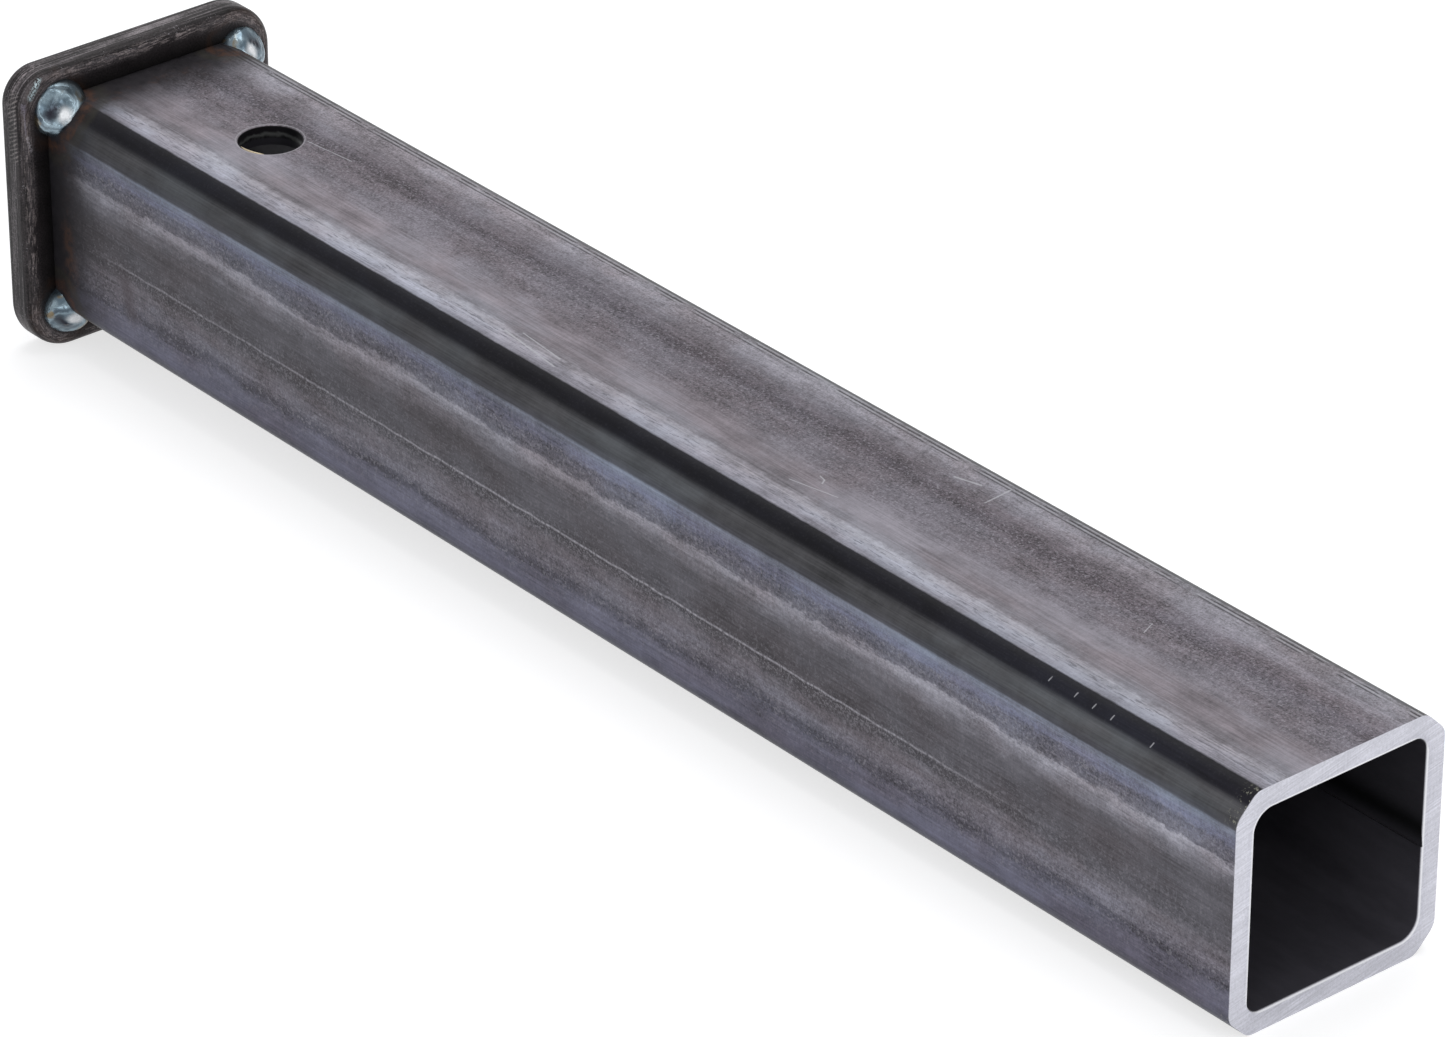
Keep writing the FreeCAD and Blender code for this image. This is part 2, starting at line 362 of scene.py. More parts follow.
class EffectGroup(Graph):
    """A shared effect, as a shader node group that is built once.

    Attributes:
        given: The group's inputs by name.
        place: The input that says where the effect is read, in millimetres.
    """

    built: Dict[Effect, bpy.types.NodeTree] = {}

    @classmethod
    def of(cls, effect: Effect) -> bpy.types.NodeTree:
        """Find the group of an effect, building it when it is first asked for.

        Args:
            effect: The effect.

        Returns:
            Its node tree.
        """
        if effect not in cls.built:
            cls.built[effect] = cls(effect).tree
        return cls.built[effect]

    def __init__(self, effect: Effect) -> None:
        """Make the group's sockets and lay its pattern out.

        Args:
            effect: The effect.
        """
        super().__init__(bpy.data.node_groups.new(effect.value, "ShaderNodeTree"))
        lay_out, inputs, outputs = {
            Effect.STREAKS: (self.streaks, {"Along": 60.0, "Across": 1.0, "Seed": 0.0}, ["Value"]),
            Effect.MOTTLE: (self.mottle, {"Size": 12.0, "Seed": 0.0}, ["Value"]),
            Effect.SPECKS: (self.specks, {"Size": 0.6, "Amount": 0.1, "Seed": 0.0}, ["Mask"]),
            Effect.STROKE: (
                self.stroke,
                {"Start": ORIGIN, "Run": ORIGIN, "Width": 0.3, "Uneven": 0.5},
                ["Mask"],
            ),
            Effect.HEAT: (
                self.heat, {"Collar": 9.5, "Offset": 28.8}, ["Soot", "Rust", "Ring"]
            ),
            Effect.OUTLINE: (self.outline, {"Half": 30.0, "Corner": 5.0}, ["Distance"]),
        }[effect]
        new_socket = self.tree.interface.new_socket
        for name, value in {"Position": ORIGIN, **inputs}.items():
            kind = "Float" if isinstance(value, float) else "Vector"
            made = new_socket(name, in_out="INPUT", socket_type=f"NodeSocket{kind}")
            made.default_value = value
        for name in outputs:
            new_socket(name, in_out="OUTPUT", socket_type="NodeSocketFloat")
        sockets = self.node("NodeGroupInput").outputs
        self.given = {socket.name: Field(self, socket) for socket in sockets if socket.name}
        self.place = self.given["Position"]
        self.result = self.node("NodeGroupOutput")
        lay_out()

    def put(self, **outputs: Field) -> None:
        """Feed the group's outputs by name."""
        for name, field in outputs.items():
            self.feed(self.result.inputs[name], field)

    def streaks(self) -> None:
        """Noise drawn out along X, as the rolls leave it."""
        x, y, z = self.place.parts()
        across = self.given["Across"]
        drawn = self.joined(x / self.given["Along"], y / across + self.given["Seed"], z / across)
        self.put(Value=drawn.noise(1.0, 4.0, 0.55))

    def mottle(self) -> None:
        """Cloudy patches of thicker and thinner scale."""
        moved = self.vector("ADD", self.place, self.given["Seed"])
        self.put(Value=moved.noise(self.given["Size"], 5.0, 0.6))

    def specks(self) -> None:
        """Scattered small specks."""
        moved = self.vector("ADD", self.place, self.given["Seed"])
        grains = moved.noise(self.given["Size"], 2.0, 0.6)
        bar = 0.74 - self.given["Amount"]
        self.put(Mask=grains.step(bar, bar + 0.06))

    def stroke(self) -> None:
        """One scratch or nick, from its start along its run."""
        run = self.given["Run"]
        away = self.vector("SUBTRACT", self.place, self.given["Start"])
        covered = self.vector("DOT_PRODUCT", away, run)
        whole = self.vector("DOT_PRODUCT", run, run)
        along = self.math("DIVIDE", covered, whole, clamp=True)
        gap = self.vector("DISTANCE", away, self.scaled(run, along))
        width = self.given["Width"] * self.given["Uneven"].spread(0.2, 1.8)
        self.put(Mask=gap.step(width, 0.0))

    def heat(self) -> None:
        """Marks of welding: soot by the collar, rust and temper rings round the nuggets."""
        place, collar, offset = self.place, self.given["Collar"], self.given["Offset"]
        x, y, z = place.parts()
        away = x - collar + place.noise(6.0, 4.0, 0.6).spread(-6.0, 6.0)
        centre = self.joined(collar, offset, offset)
        reach = self.vector("DISTANCE", self.joined(x, abs(y), abs(z)), centre)
        reach += place.noise(3.0, 3.0, 0.6).spread(-2.6, 2.6)
        patches = place.noise(2.6, 4.0, 0.7).step(0.36, 0.60)
        rust = reach.bell(9.6, 2.3) * patches.spread(0.3, 1.0)
        stain = away.bell(8.0, 5.0) * place.noise(4.5, 4.0, 0.7).step(0.48, 0.70)
        self.put(Soot=away.step(27.0, 4.5), Ring=reach.bell(12.6, 2.6))
        self.put(Rust=rust.at_least(stain * 0.35))

    def outline(self) -> None:
        """Distance outside a square with round corners, across the tube's axis."""
        _, y, z = self.place.parts()
        corner = self.given["Corner"]
        core = self.given["Half"] - corner
        over_y, over_z = abs(y) - core, abs(z) - core
        outside = self.joined(0.0, over_y.at_least(0.0), over_z.at_least(0.0))
        inside = over_y.at_least(over_z).at_most(0.0)
        self.put(Distance=self.vector("LENGTH", outside) + inside - corner)


class Coat(Graph):
    """A material being painted, with one Principled shader.

    Attributes:
        place: Where on the part, in millimetres.
        xyz: The same as three numbers.
        colour: What has been painted so far.
    """

    def __init__(self, name: str) -> None:
        """Start the material.

        Args:
            name: Its name.
        """
        self.material = bpy.data.materials.new(name)
        self.material.use_nodes = True
        super().__init__(self.material.node_tree)
        self.tree.nodes.clear()
        self.shader = self.node("ShaderNodeBsdfPrincipled")
        surface = Field(self, self.shader.outputs["BSDF"])
        self.node("ShaderNodeOutputMaterial", {"Surface": surface})
        self.place = self.scaled(self.field("ShaderNodeTexCoord", {}, "Object"), 1.0 / MM)
        self.xyz = self.place.parts()
        self.colour: Hue = ORIGIN

    def paint(self, hue: Hue, mask: Feed) -> None:
        """Lay a colour over what is there, as thick as the mask says."""
        self.colour = self.mix(mask, self.colour, hue)

    def shade(self, factor: Feed) -> None:
        """Make the colour lighter or darker by a factor."""
        self.colour = self.scaled(self.colour, factor)

    def close(self, rough: Feed, metallic: Feed, specular: float = 0.5) -> None:
        """Give the shader the colour and its gloss.

        Args:
            rough: Its roughness.
            metallic: Its share of bare metal.
            specular: Level of its reflection where it isn't metal.
        """
        self.feed(self.shader.inputs["Base Color"], self.colour)
        self.feed(self.shader.inputs["Roughness"], rough)
        self.feed(self.shader.inputs["Metallic"], metallic)
        self.feed(self.shader.inputs["Specular IOR Level"], specular)

    def bump(self, height: Field, depth: float) -> None:
        """Give the surface relief.

        Args:
            height: The relief, 0 to 1.
            depth: What 1 stands for, in millimetres.
        """
        feeds = {"Strength": 1.0, "Distance": depth * MM, "Height": height}
        self.feed(self.shader.inputs["Normal"], self.field("ShaderNodeBump", feeds))


class Finish:
    """A procedural finish, which a coat is painted with."""

    name = "finish"

    def material(self) -> bpy.types.Material:
        """Build the material.

        Returns:
            The new material, painted all over.
        """
        coat = Coat(self.name)
        self.lay_out(coat)
        return coat.material

    def lay_out(self, coat: Coat) -> None:
        """Paint the coat; each finish has its own way."""
        raise NotImplementedError


@dataclass(frozen=True)
class Stripe:
    """One lengthwise stripe of the rolled scale; the dark ones by the right top corner also hold a
    painted dark reflection.

    Attributes:
        place: Its place across the face, in millimetres from the middle.
        colour: Its display colour.
        grain: How coarse and lively its grain is, 0 to 1.
    """

    place: float
    colour: Colour
    grain: float


@dataclass(frozen=True)
class MillScale(Finish):
    """Rolled tube under mill scale, bare at the saw cut and burnt beside the collar.

    Lengths are in millimetres. A stroke has its start, its run and its width; each of the grooves
    and ridges beside the far edge, with painted shade in the grooves and painted highlight on
    the ridges, has its place across the top and its strength.
    """

    name: str = "mill_scale"
    length: float = 457.2
    inner_half: float = 26.19
    inner_corner: float = 5.2
    hole_centre: float = 63.5
    hole_radius: float = 8.35
    top_face: float = 31.75
    seam_level: float = -3.8
    saw_cut: Colour = (0.815, 0.815, 0.85)
    deburred_edge_and_highlight: Colour = (0.97, 0.97, 0.98)
    filings: Colour = (0.66, 0.66, 0.60)
    inside: Colour = (0.205, 0.20, 0.22)
    seam_shadow: Colour = (0.05, 0.05, 0.055)
    burnt: Colour = (0.150, 0.142, 0.154)
    rust: Colour = (0.37, 0.255, 0.185)
    temper: Colour = (0.25, 0.24, 0.20)
    glint: Colour = (0.66, 0.65, 0.68)
    speck: Colour = (0.2, 0.2, 0.22)
    dash: Colour = (0.30, 0.30, 0.33)
    painted_line_shade: Colour = (0.20, 0.195, 0.21)
    painted_ridge_highlight: Colour = (0.70, 0.70, 0.72)
    seam: Colour = (0.73, 0.72, 0.75)
    scuff: Colour = (0.58, 0.57, 0.59)
    scratch: Colour = (0.72, 0.72, 0.74)
    bruise: Colour = (0.29, 0.255, 0.275)
    hole_shadow: Colour = (0.115, 0.11, 0.12)
    hole_torn: Colour = (0.20, 0.20, 0.205)
    hole_rubbed: Colour = (0.36, 0.365, 0.36)
    hole_rim: Colour = (0.70, 0.69, 0.71)
    top_stripes: Tuple[Stripe, ...] = (
        Stripe(-32.0, (0.185, 0.185, 0.20), 0.14),
        # The dark band from -28 to -24.3 by the right top corner is partly scale and partly a
        # painted dark reflection.
        Stripe(-28.0, (0.095, 0.095, 0.12), 0.14),
        Stripe(-24.3, (0.085, 0.085, 0.11), 0.14),
        Stripe(-23.7, (0.56, 0.56, 0.60), 0.40),
        Stripe(-21.0, (0.650, 0.65, 0.69), 0.34),
        Stripe(-18.7, (0.645, 0.64, 0.67), 0.36),
        Stripe(-15.8, (0.51, 0.50, 0.525), 0.36),
        Stripe(-12.0, (0.55, 0.53, 0.555), 0.29),
        Stripe(-8.0, (0.535, 0.515, 0.54), 0.36),
        Stripe(-1.0, (0.455, 0.435, 0.46), 0.65),
        Stripe(5.0, (0.43, 0.41, 0.435), 0.72),
        Stripe(9.5, (0.355, 0.335, 0.36), 0.76),
        Stripe(13.5, (0.42, 0.40, 0.425), 0.65),
        Stripe(17.0, (0.475, 0.46, 0.485), 0.61),
        Stripe(21.5, (0.57, 0.555, 0.58), 0.65),
        Stripe(24.2, (0.56, 0.55, 0.57), 0.65),
        Stripe(25.2, (0.40, 0.40, 0.41), 0.43),
        Stripe(32.0, (0.34, 0.34, 0.35), 0.36),
    )
    side_stripes: Tuple[Stripe, ...] = (
        Stripe(-32.0, (0.32, 0.32, 0.37), 0.25),
        Stripe(-26.0, (0.28, 0.28, 0.33), 0.30),
        Stripe(-24.3, (0.37, 0.365, 0.42), 0.35),
        Stripe(-23.2, (0.40, 0.395, 0.455), 0.37),
        Stripe(-19.0, (0.41, 0.405, 0.46), 0.50),
        Stripe(-16.5, (0.335, 0.33, 0.37), 0.66),
        Stripe(-12.5, (0.455, 0.445, 0.48), 0.62),
        Stripe(-8.5, (0.43, 0.415, 0.44), 0.56),
        Stripe(-5.5, (0.335, 0.325, 0.345), 0.58),
        Stripe(1.0, (0.34, 0.33, 0.35), 0.43),
        Stripe(6.5, (0.35, 0.34, 0.36), 0.40),
        Stripe(10.0, (0.44, 0.43, 0.455), 0.50),
        Stripe(13.9, (0.585, 0.575, 0.605), 0.56),
        Stripe(15.2, (0.41, 0.405, 0.44), 0.62),
        Stripe(18.5, (0.40, 0.40, 0.445), 0.68),
        Stripe(20.8, (0.455, 0.465, 0.54), 0.52),
        Stripe(23.5, (0.49, 0.515, 0.57), 0.42),
        Stripe(24.2, (0.295, 0.30, 0.325), 0.12),
        Stripe(26.5, (0.315, 0.32, 0.33), 0.12),
        Stripe(29.0, (0.325, 0.33, 0.34), 0.12),
        Stripe(32.0, (0.255, 0.255, 0.27), 0.12),
    )
    grooves: Tuple[Tuple[float, float], ...] = ((22.6, 0.8), (23.8, 0.95), (25.4, 0.7), (26.6, 0.5))
    ridges: Tuple[Tuple[float, float], ...] = ((23.2, 0.5), (24.6, 0.7))
    bruise_stroke: Stroke = ((41.5, -31.75, -7.5), (2.5, 0.0, -8.5), 5.0)
    scorch_stroke: Stroke = ((16.0, -31.75, -3.0), (1.0, 0.0, -14.0), 4.2)
    scratches: Tuple[Stroke, ...] = (
        ((285.0, -13.5, 31.75), (14.0, 3.0, 0.0), 0.22),
        ((288.5, -7.0, 31.75), (2.2, -0.5, 0.0), 0.32),
        ((290.7, -7.5, 31.75), (0.9, -1.5, 0.0), 0.32),
        ((322.9, 14.1, 31.75), (-0.7, 8.6, 0.0), 0.40),
        ((309.0, 17.0, 31.75), (7.0, 2.0, 0.0), 0.5),
        ((184.0, -18.5, 31.75), (22.0, -2.5, 0.0), 0.5),
        ((188.0, -16.0, 31.75), (16.0, -1.5, 0.0), 0.35),
        ((389.0, 6.0, 31.75), (1.6, -4.0, 0.0), 0.22),
        ((70.5, 6.7, 31.75), (16.3, 1.7, 0.0), 0.26),
    )
    nick_run: Place = (0.2, 0.8, 0.8)
    nick_width: float = 0.28
    nicks: Tuple[Place, ...] = (
        (391.0, -27.2, 30.4),
        (399.7, -27.4, 30.2),
        (405.8, -27.5, 30.1),
        (411.9, -27.6, 30.0),
        (425.5, -28.2, 29.4),
    )

    def stripes(self, coat: Coat) -> Tuple[Field, Field]:
        """Paint the rolling stripes round the tube, with a painted dark reflection in the band by
        the right top corner.

        Args:
            coat: The material being painted.

        Returns:
            The strength of the scale's grain and the share of the top or bottom face.
        """
        x, y, z = coat.xyz
        slow = coat.place.pattern(Effect.STREAKS, Along=60.0, Across=12.0, Seed=3.0)
        drawn_out = coat.joined(x * 0.5, y, z)
        ragged = drawn_out.pattern(Effect.MOTTLE, Size=2.6, Seed=7.0)
        fine = drawn_out.noise(0.7, 2.0, 0.6)
        wander = slow.spread(-3.2, 3.2) + (ragged.spread(-2.6, 2.6) + fine.spread(-1.3, 1.3))
        colours, grains = [], []
        for across, normal, turn, face in (
            (y, z, 1.0, self.top_stripes),
            (z, y, -1.0, self.side_stripes),
        ):
            level = across * normal.sign() * turn
            free = abs(level).step(24.0, 17.0)
            moved = level + wander * free.spread(0.10, 1.0)
            colours.append(moved.ramp([(s.place, s.colour) for s in face]))
            grains.append(moved.ramp([(s.place, (s.grain, s.grain, s.grain)) for s in face]))
        upper = (abs(z) - abs(y)).step(-1.8, 1.8)
        coat.colour = coat.mix(upper, colours[1], colours[0])
        grain = coat.mix(upper, grains[1], grains[0])
        return coat.vector("DOT_PRODUCT", grain, GREY_WEIGHTS), upper

    @staticmethod
    def painted_light_along_tube(coat: Coat, upper: Field) -> Field:
        """Paint light and shade that grow lighter and darker from one end of the tube to the other,
        and differ between the top and side faces.

        Args:
            coat: The material being painted.
            upper: The share of the top or bottom face.

        Returns:
            The factor of painted light and shade on the scale's colour.
        """
        x, y, z = coat.xyz
        across = y * z.sign()
        rear = x.step(290.0, 400.0)
        top = x.step(140.0, 230.0).spread(1.0, 0.90)
        far_half, far_edge = across.step(0.0, 13.0), across.step(17.5, 20.0)
        bright_line, near_flat = across.bell(-21.5, 4.5), across.step(-25.4, -26.8)
        for mask, change in (
            (far_half, 0.24), (far_edge, -0.34), (bright_line, -0.12), (near_flat, 0.60)
        ):
            top += mask * rear * change
        side = x.step(90.0, 240.0).spread(0.86, 0.98) + rear * 0.13
        return side + upper * (top - side)

    def skin(self, coat: Coat) -> Field:
        """Paint the outside of the tube, away from its ends.

        Args:
            coat: The material being painted.

        Returns:
            The relief.
        """
        place, (x, y, z) = coat.place, coat.xyz
        strength, upper = self.stripes(coat)
        drawn_out = coat.joined(x * 0.45, y, z)
        clouds = drawn_out.pattern(Effect.MOTTLE, Size=17.0, Seed=0.0)
        patches = drawn_out.pattern(Effect.MOTTLE, Size=5.0, Seed=4.0)
        grain = place.noise(0.5, 2.0, 0.75)
        coarse = place.noise(1.2, 2.0, 0.6)
        fine = place.pattern(Effect.STREAKS, Along=22.0, Across=0.45, Seed=1.0)
        brush = coat.joined(x * 0.8, y * 0.07, z * 0.07).noise(1.0, 3.0, 0.6)
        tone = (grain.spread(-2.8, 2.8) + coarse.spread(-1.0, 1.0)) * strength + 1.0
        for pattern, reach in ((clouds, 0.75), (patches, 0.55), (fine, 0.55), (brush, 0.12)):
            tone += pattern.spread(-reach, reach)
        # Tone of the scale, times the painted light and shade along the tube.
        coat.shade(tone.at_least(0.25) * self.painted_light_along_tube(coat, upper))
        warm = coat.vector("MULTIPLY", coat.colour, (1.03, 0.99, 0.99))
        cool = coat.vector("MULTIPLY", coat.colour, (0.98, 1.00, 1.02))
        coat.colour = coat.mix(clouds.step(0.40, 0.60), warm, cool)

        light = place.pattern(Effect.SPECKS, Size=0.8, Amount=0.17, Seed=5.0)
        coat.paint(self.glint, light * strength * 0.75)
        dark = place.pattern(Effect.SPECKS, Size=1.0, Amount=0.10, Seed=15.0)
        coat.paint(self.speck, dark * strength * 0.6)
        across = y * z.sign()
        dashes = place.pattern(Effect.STREAKS, Along=3.6, Across=0.55, Seed=21.0)
        bright_zone = across.bell(-20.2, 4.2) * upper
        coat.paint(self.dash, dashes.step(0.56, 0.62) * bright_zone * 0.55)
        broken = place.pattern(Effect.STREAKS, Along=9.0, Across=3.0, Seed=9.0).step(0.40, 0.52)
        # Painted shade in the grooves and painted highlights on the ridges beside the far edge.
        for hue, lines, half in (
            (self.painted_line_shade, self.grooves, 0.42), (self.painted_ridge_highlight, self.ridges, 0.4)
        ):
            for line, share in lines:
                coat.paint(hue, across.bell(line, half) * upper * broken * share)
        self.weld_line(coat, grain)
        self.marks(coat, coarse)
        return grain * 0.6 + fine * 0.4

    def weld_line(self, coat: Coat, grain: Field) -> None:
        """Paint the thin broken line along the right side, with a painted shadow below it.

        Args:
            coat: The material being painted.
            grain: The fine grain of the scale.
        """
        x, y, z = coat.xyz
        shown = y.step(0.0, -1.0) * x.step(30.0, 46.0)
        shown = shown * x.step(410.0, 330.0) * x.step(90.0, 200.0).spread(0.6, 1.0)
        along = coat.joined(x, 0.0, 0.0)
        dotted = along.noise(1.3, 2.0, 0.8).spread(-1.1, 2.2)
        level = z + along.noise(9.0, 3.0).spread(-0.7, 0.7)
        # Painted shadow just below the weld line.
        shadow = level.bell(self.seam_level - 0.8, 0.8) * shown
        coat.paint(self.painted_line_shade, shadow * grain.step(0.60, 0.45) * 0.5)
        line = level.bell(self.seam_level, 0.5) * shown * dotted.at_most(1.0)
        coat.paint(self.seam, coat.math("MULTIPLY", line, 0.95, clamp=True))
        scuffed = z.bell(self.seam_level - 1.4, 3.4) * shown
        coat.paint(self.scuff, scuffed * grain.step(0.55, 0.64) * 0.6)

    def marks(self, coat: Coat, coarse: Field) -> None:
        """Paint the scratches, the nicks and the bruise behind the collar.

        Args:
            coat: The material being painted.
            coarse: The coarse grain of the scale.
        """
        uneven = coat.place.noise(0.9, 2.0)
        nicks = tuple((start, self.nick_run, self.nick_width) for start in self.nicks)
        for stroke in self.scratches + nicks:
            coat.paint(self.scratch, coat.place.stroke(stroke, uneven) * 0.75)
        coat.paint(self.bruise, coat.place.stroke(self.bruise_stroke, coarse) * 0.6)

    def pin_hole(self, coat: Coat) -> None:
        """Paint the wall of the pin hole: a rubbed ring over torn metal, with painted shadow on the
        upper wall and between the torn patches.

        Args:
            coat: The material being painted.
        """
        x, y, z = coat.xyz
        radius = self.hole_radius
        from_pin = coat.vector("DISTANCE", coat.joined(x, y, 0.0), (self.hole_centre, 0.0, 0.0))
        depth = self.top_face - abs(z)
        torn = coat.joined(x, y, z * 0.15).noise(0.7, 3.0, 0.7)
        level = depth + coat.place.noise(3.0, 2.0).spread(-1.2, 1.2)
        share = torn.step(0.38, 0.66) * depth.step(2.6, 3.4)
        # Painted shadow on the wall, with torn metal lower down.
        wall = coat.mix(share, self.hole_shadow, self.hole_torn)
        wall = coat.mix(level.bell(2.5, 0.9), wall, self.hole_rubbed)
        coat.paint(wall, from_pin.step(radius + 0.18, radius + 0.05))
        coat.paint(self.hole_rim, from_pin.bell(radius + 0.5, 0.42) * 0.45)

    def hollow(self, coat: Coat) -> Field:
        """Mix the colour inside the tube: dark scale, a painted shadow along the seam and a floor
        that is lighter towards the saw-cut end.

        Args:
            coat: The material being painted.

        Returns:
            The colour.
        """
        x, y, z = coat.xyz
        # Painted shadow along the inner seam, on the left wall.
        painted_seam_shadow = z.bell(1.5, 6.0) * y.step(18.0, 22.0)
        grime = coat.joined(x * 0.3, y, z).noise(5.0, 4.0, 0.65)
        # The floor inside is made lighter towards the saw-cut end.
        lighter_floor_near_cut = z.step(4.0, -18.0) * x.step(300.0, 440.0)
        colour = coat.mix(painted_seam_shadow, self.inside, self.seam_shadow)
        colour = coat.scaled(colour, grime.spread(0.6, 1.4))
        return coat.scaled(colour, lighter_floor_near_cut.spread(1.0, 2.1))

    def sawn(self, coat: Coat, from_wall: Field) -> Field:
        """Mix the colour of the saw cut: fine lines, smears, painted light on its right side,
        painted shade along its bottom, and the bare inner edge left by deburring, painted
        near-white as a highlight.

        Args:
            coat: The material being painted.
            from_wall: Distance outside the inner wall.

        Returns:
            The colour.
        """
        x, y, z = coat.xyz
        slanted = coat.joined(y + z * 0.2, z - y * 0.2, x)
        lines = slanted.pattern(Effect.STREAKS, Along=22.0, Across=0.34, Seed=2.0)
        smears = coat.place.noise(7.0, 3.0, 0.6)
        saw_marks_and_painted_light = lines.spread(smears.spread(1.2, 0.2), smears.spread(0.8, 1.8))
        for change in (
            smears.spread(-0.16, 0.16),
            # Painted light on the right side of the cut and painted shade along its bottom.
            y.step(-24.0, -28.0) * 0.07,
            z.step(-24.0, -28.0) * -0.06,
            coat.place.noise(0.6, 2.0).spread(-0.22, 0.22),
        ):
            saw_marks_and_painted_light += change
        colour = coat.scaled(self.saw_cut, saw_marks_and_painted_light)
        # Bare metal on the inner edge, painted near-white as a highlight.
        return coat.mix(from_wall.bell(0.28, 0.5) * 0.85, colour, self.deburred_edge_and_highlight)

    def lay_out(self, coat: Coat) -> None:
        """Paint the skin, heat marks, pin hole, inside and saw cut.

        Args:
            coat: The material being painted.
        """
        place, (x, y, z) = coat.place, coat.xyz
        relief = self.skin(coat)
        soot, rust, ring = place.effect(Effect.HEAT)
        soft = place.noise(2.4, 4.0, 0.65)
        coat.paint(coat.scaled(self.burnt, soft.spread(0.3, 1.7)), soot * 0.97)
        coat.paint(self.rust, rust * 0.55)
        coat.paint(self.temper, ring * 0.35)
        scorched = place.stroke(self.scorch_stroke, soft) * soft.step(0.38, 0.62)
        coat.paint(self.rust, scorched * 0.4)
        self.pin_hole(coat)
        from_wall = place.pattern(
            Effect.OUTLINE, Half=self.inner_half + 0.2, Corner=self.inner_corner
        )
        inside = from_wall.step(1.9, 1.5)
        coat.paint(self.hollow(coat), inside)
        cut = x.step(self.length - 0.36, self.length - 0.02).at_least(x.step(0.12, 0.04))
        coat.paint(self.sawn(coat, from_wall), cut)
        filings = place.pattern(Effect.SPECKS, Size=0.8, Amount=0.16, Seed=31.0)
        near_cut = x.step(self.length - 5.5, self.length - 0.5)
        on_flat = (abs(y) + abs(z)).step(55.5, 57.3)
        dusty = near_cut * on_flat * (1.0 - cut) * (1.0 - inside)
        coat.paint(self.filings, filings * dusty * 0.55)
        rough = soft.spread(0.34, 0.58) + inside * 0.15 + soot * 0.1 - cut * 0.1
        coat.close(rough, cut.spread(0.35, 0.6), specular=0.15)
        coat.bump(relief, 0.03)


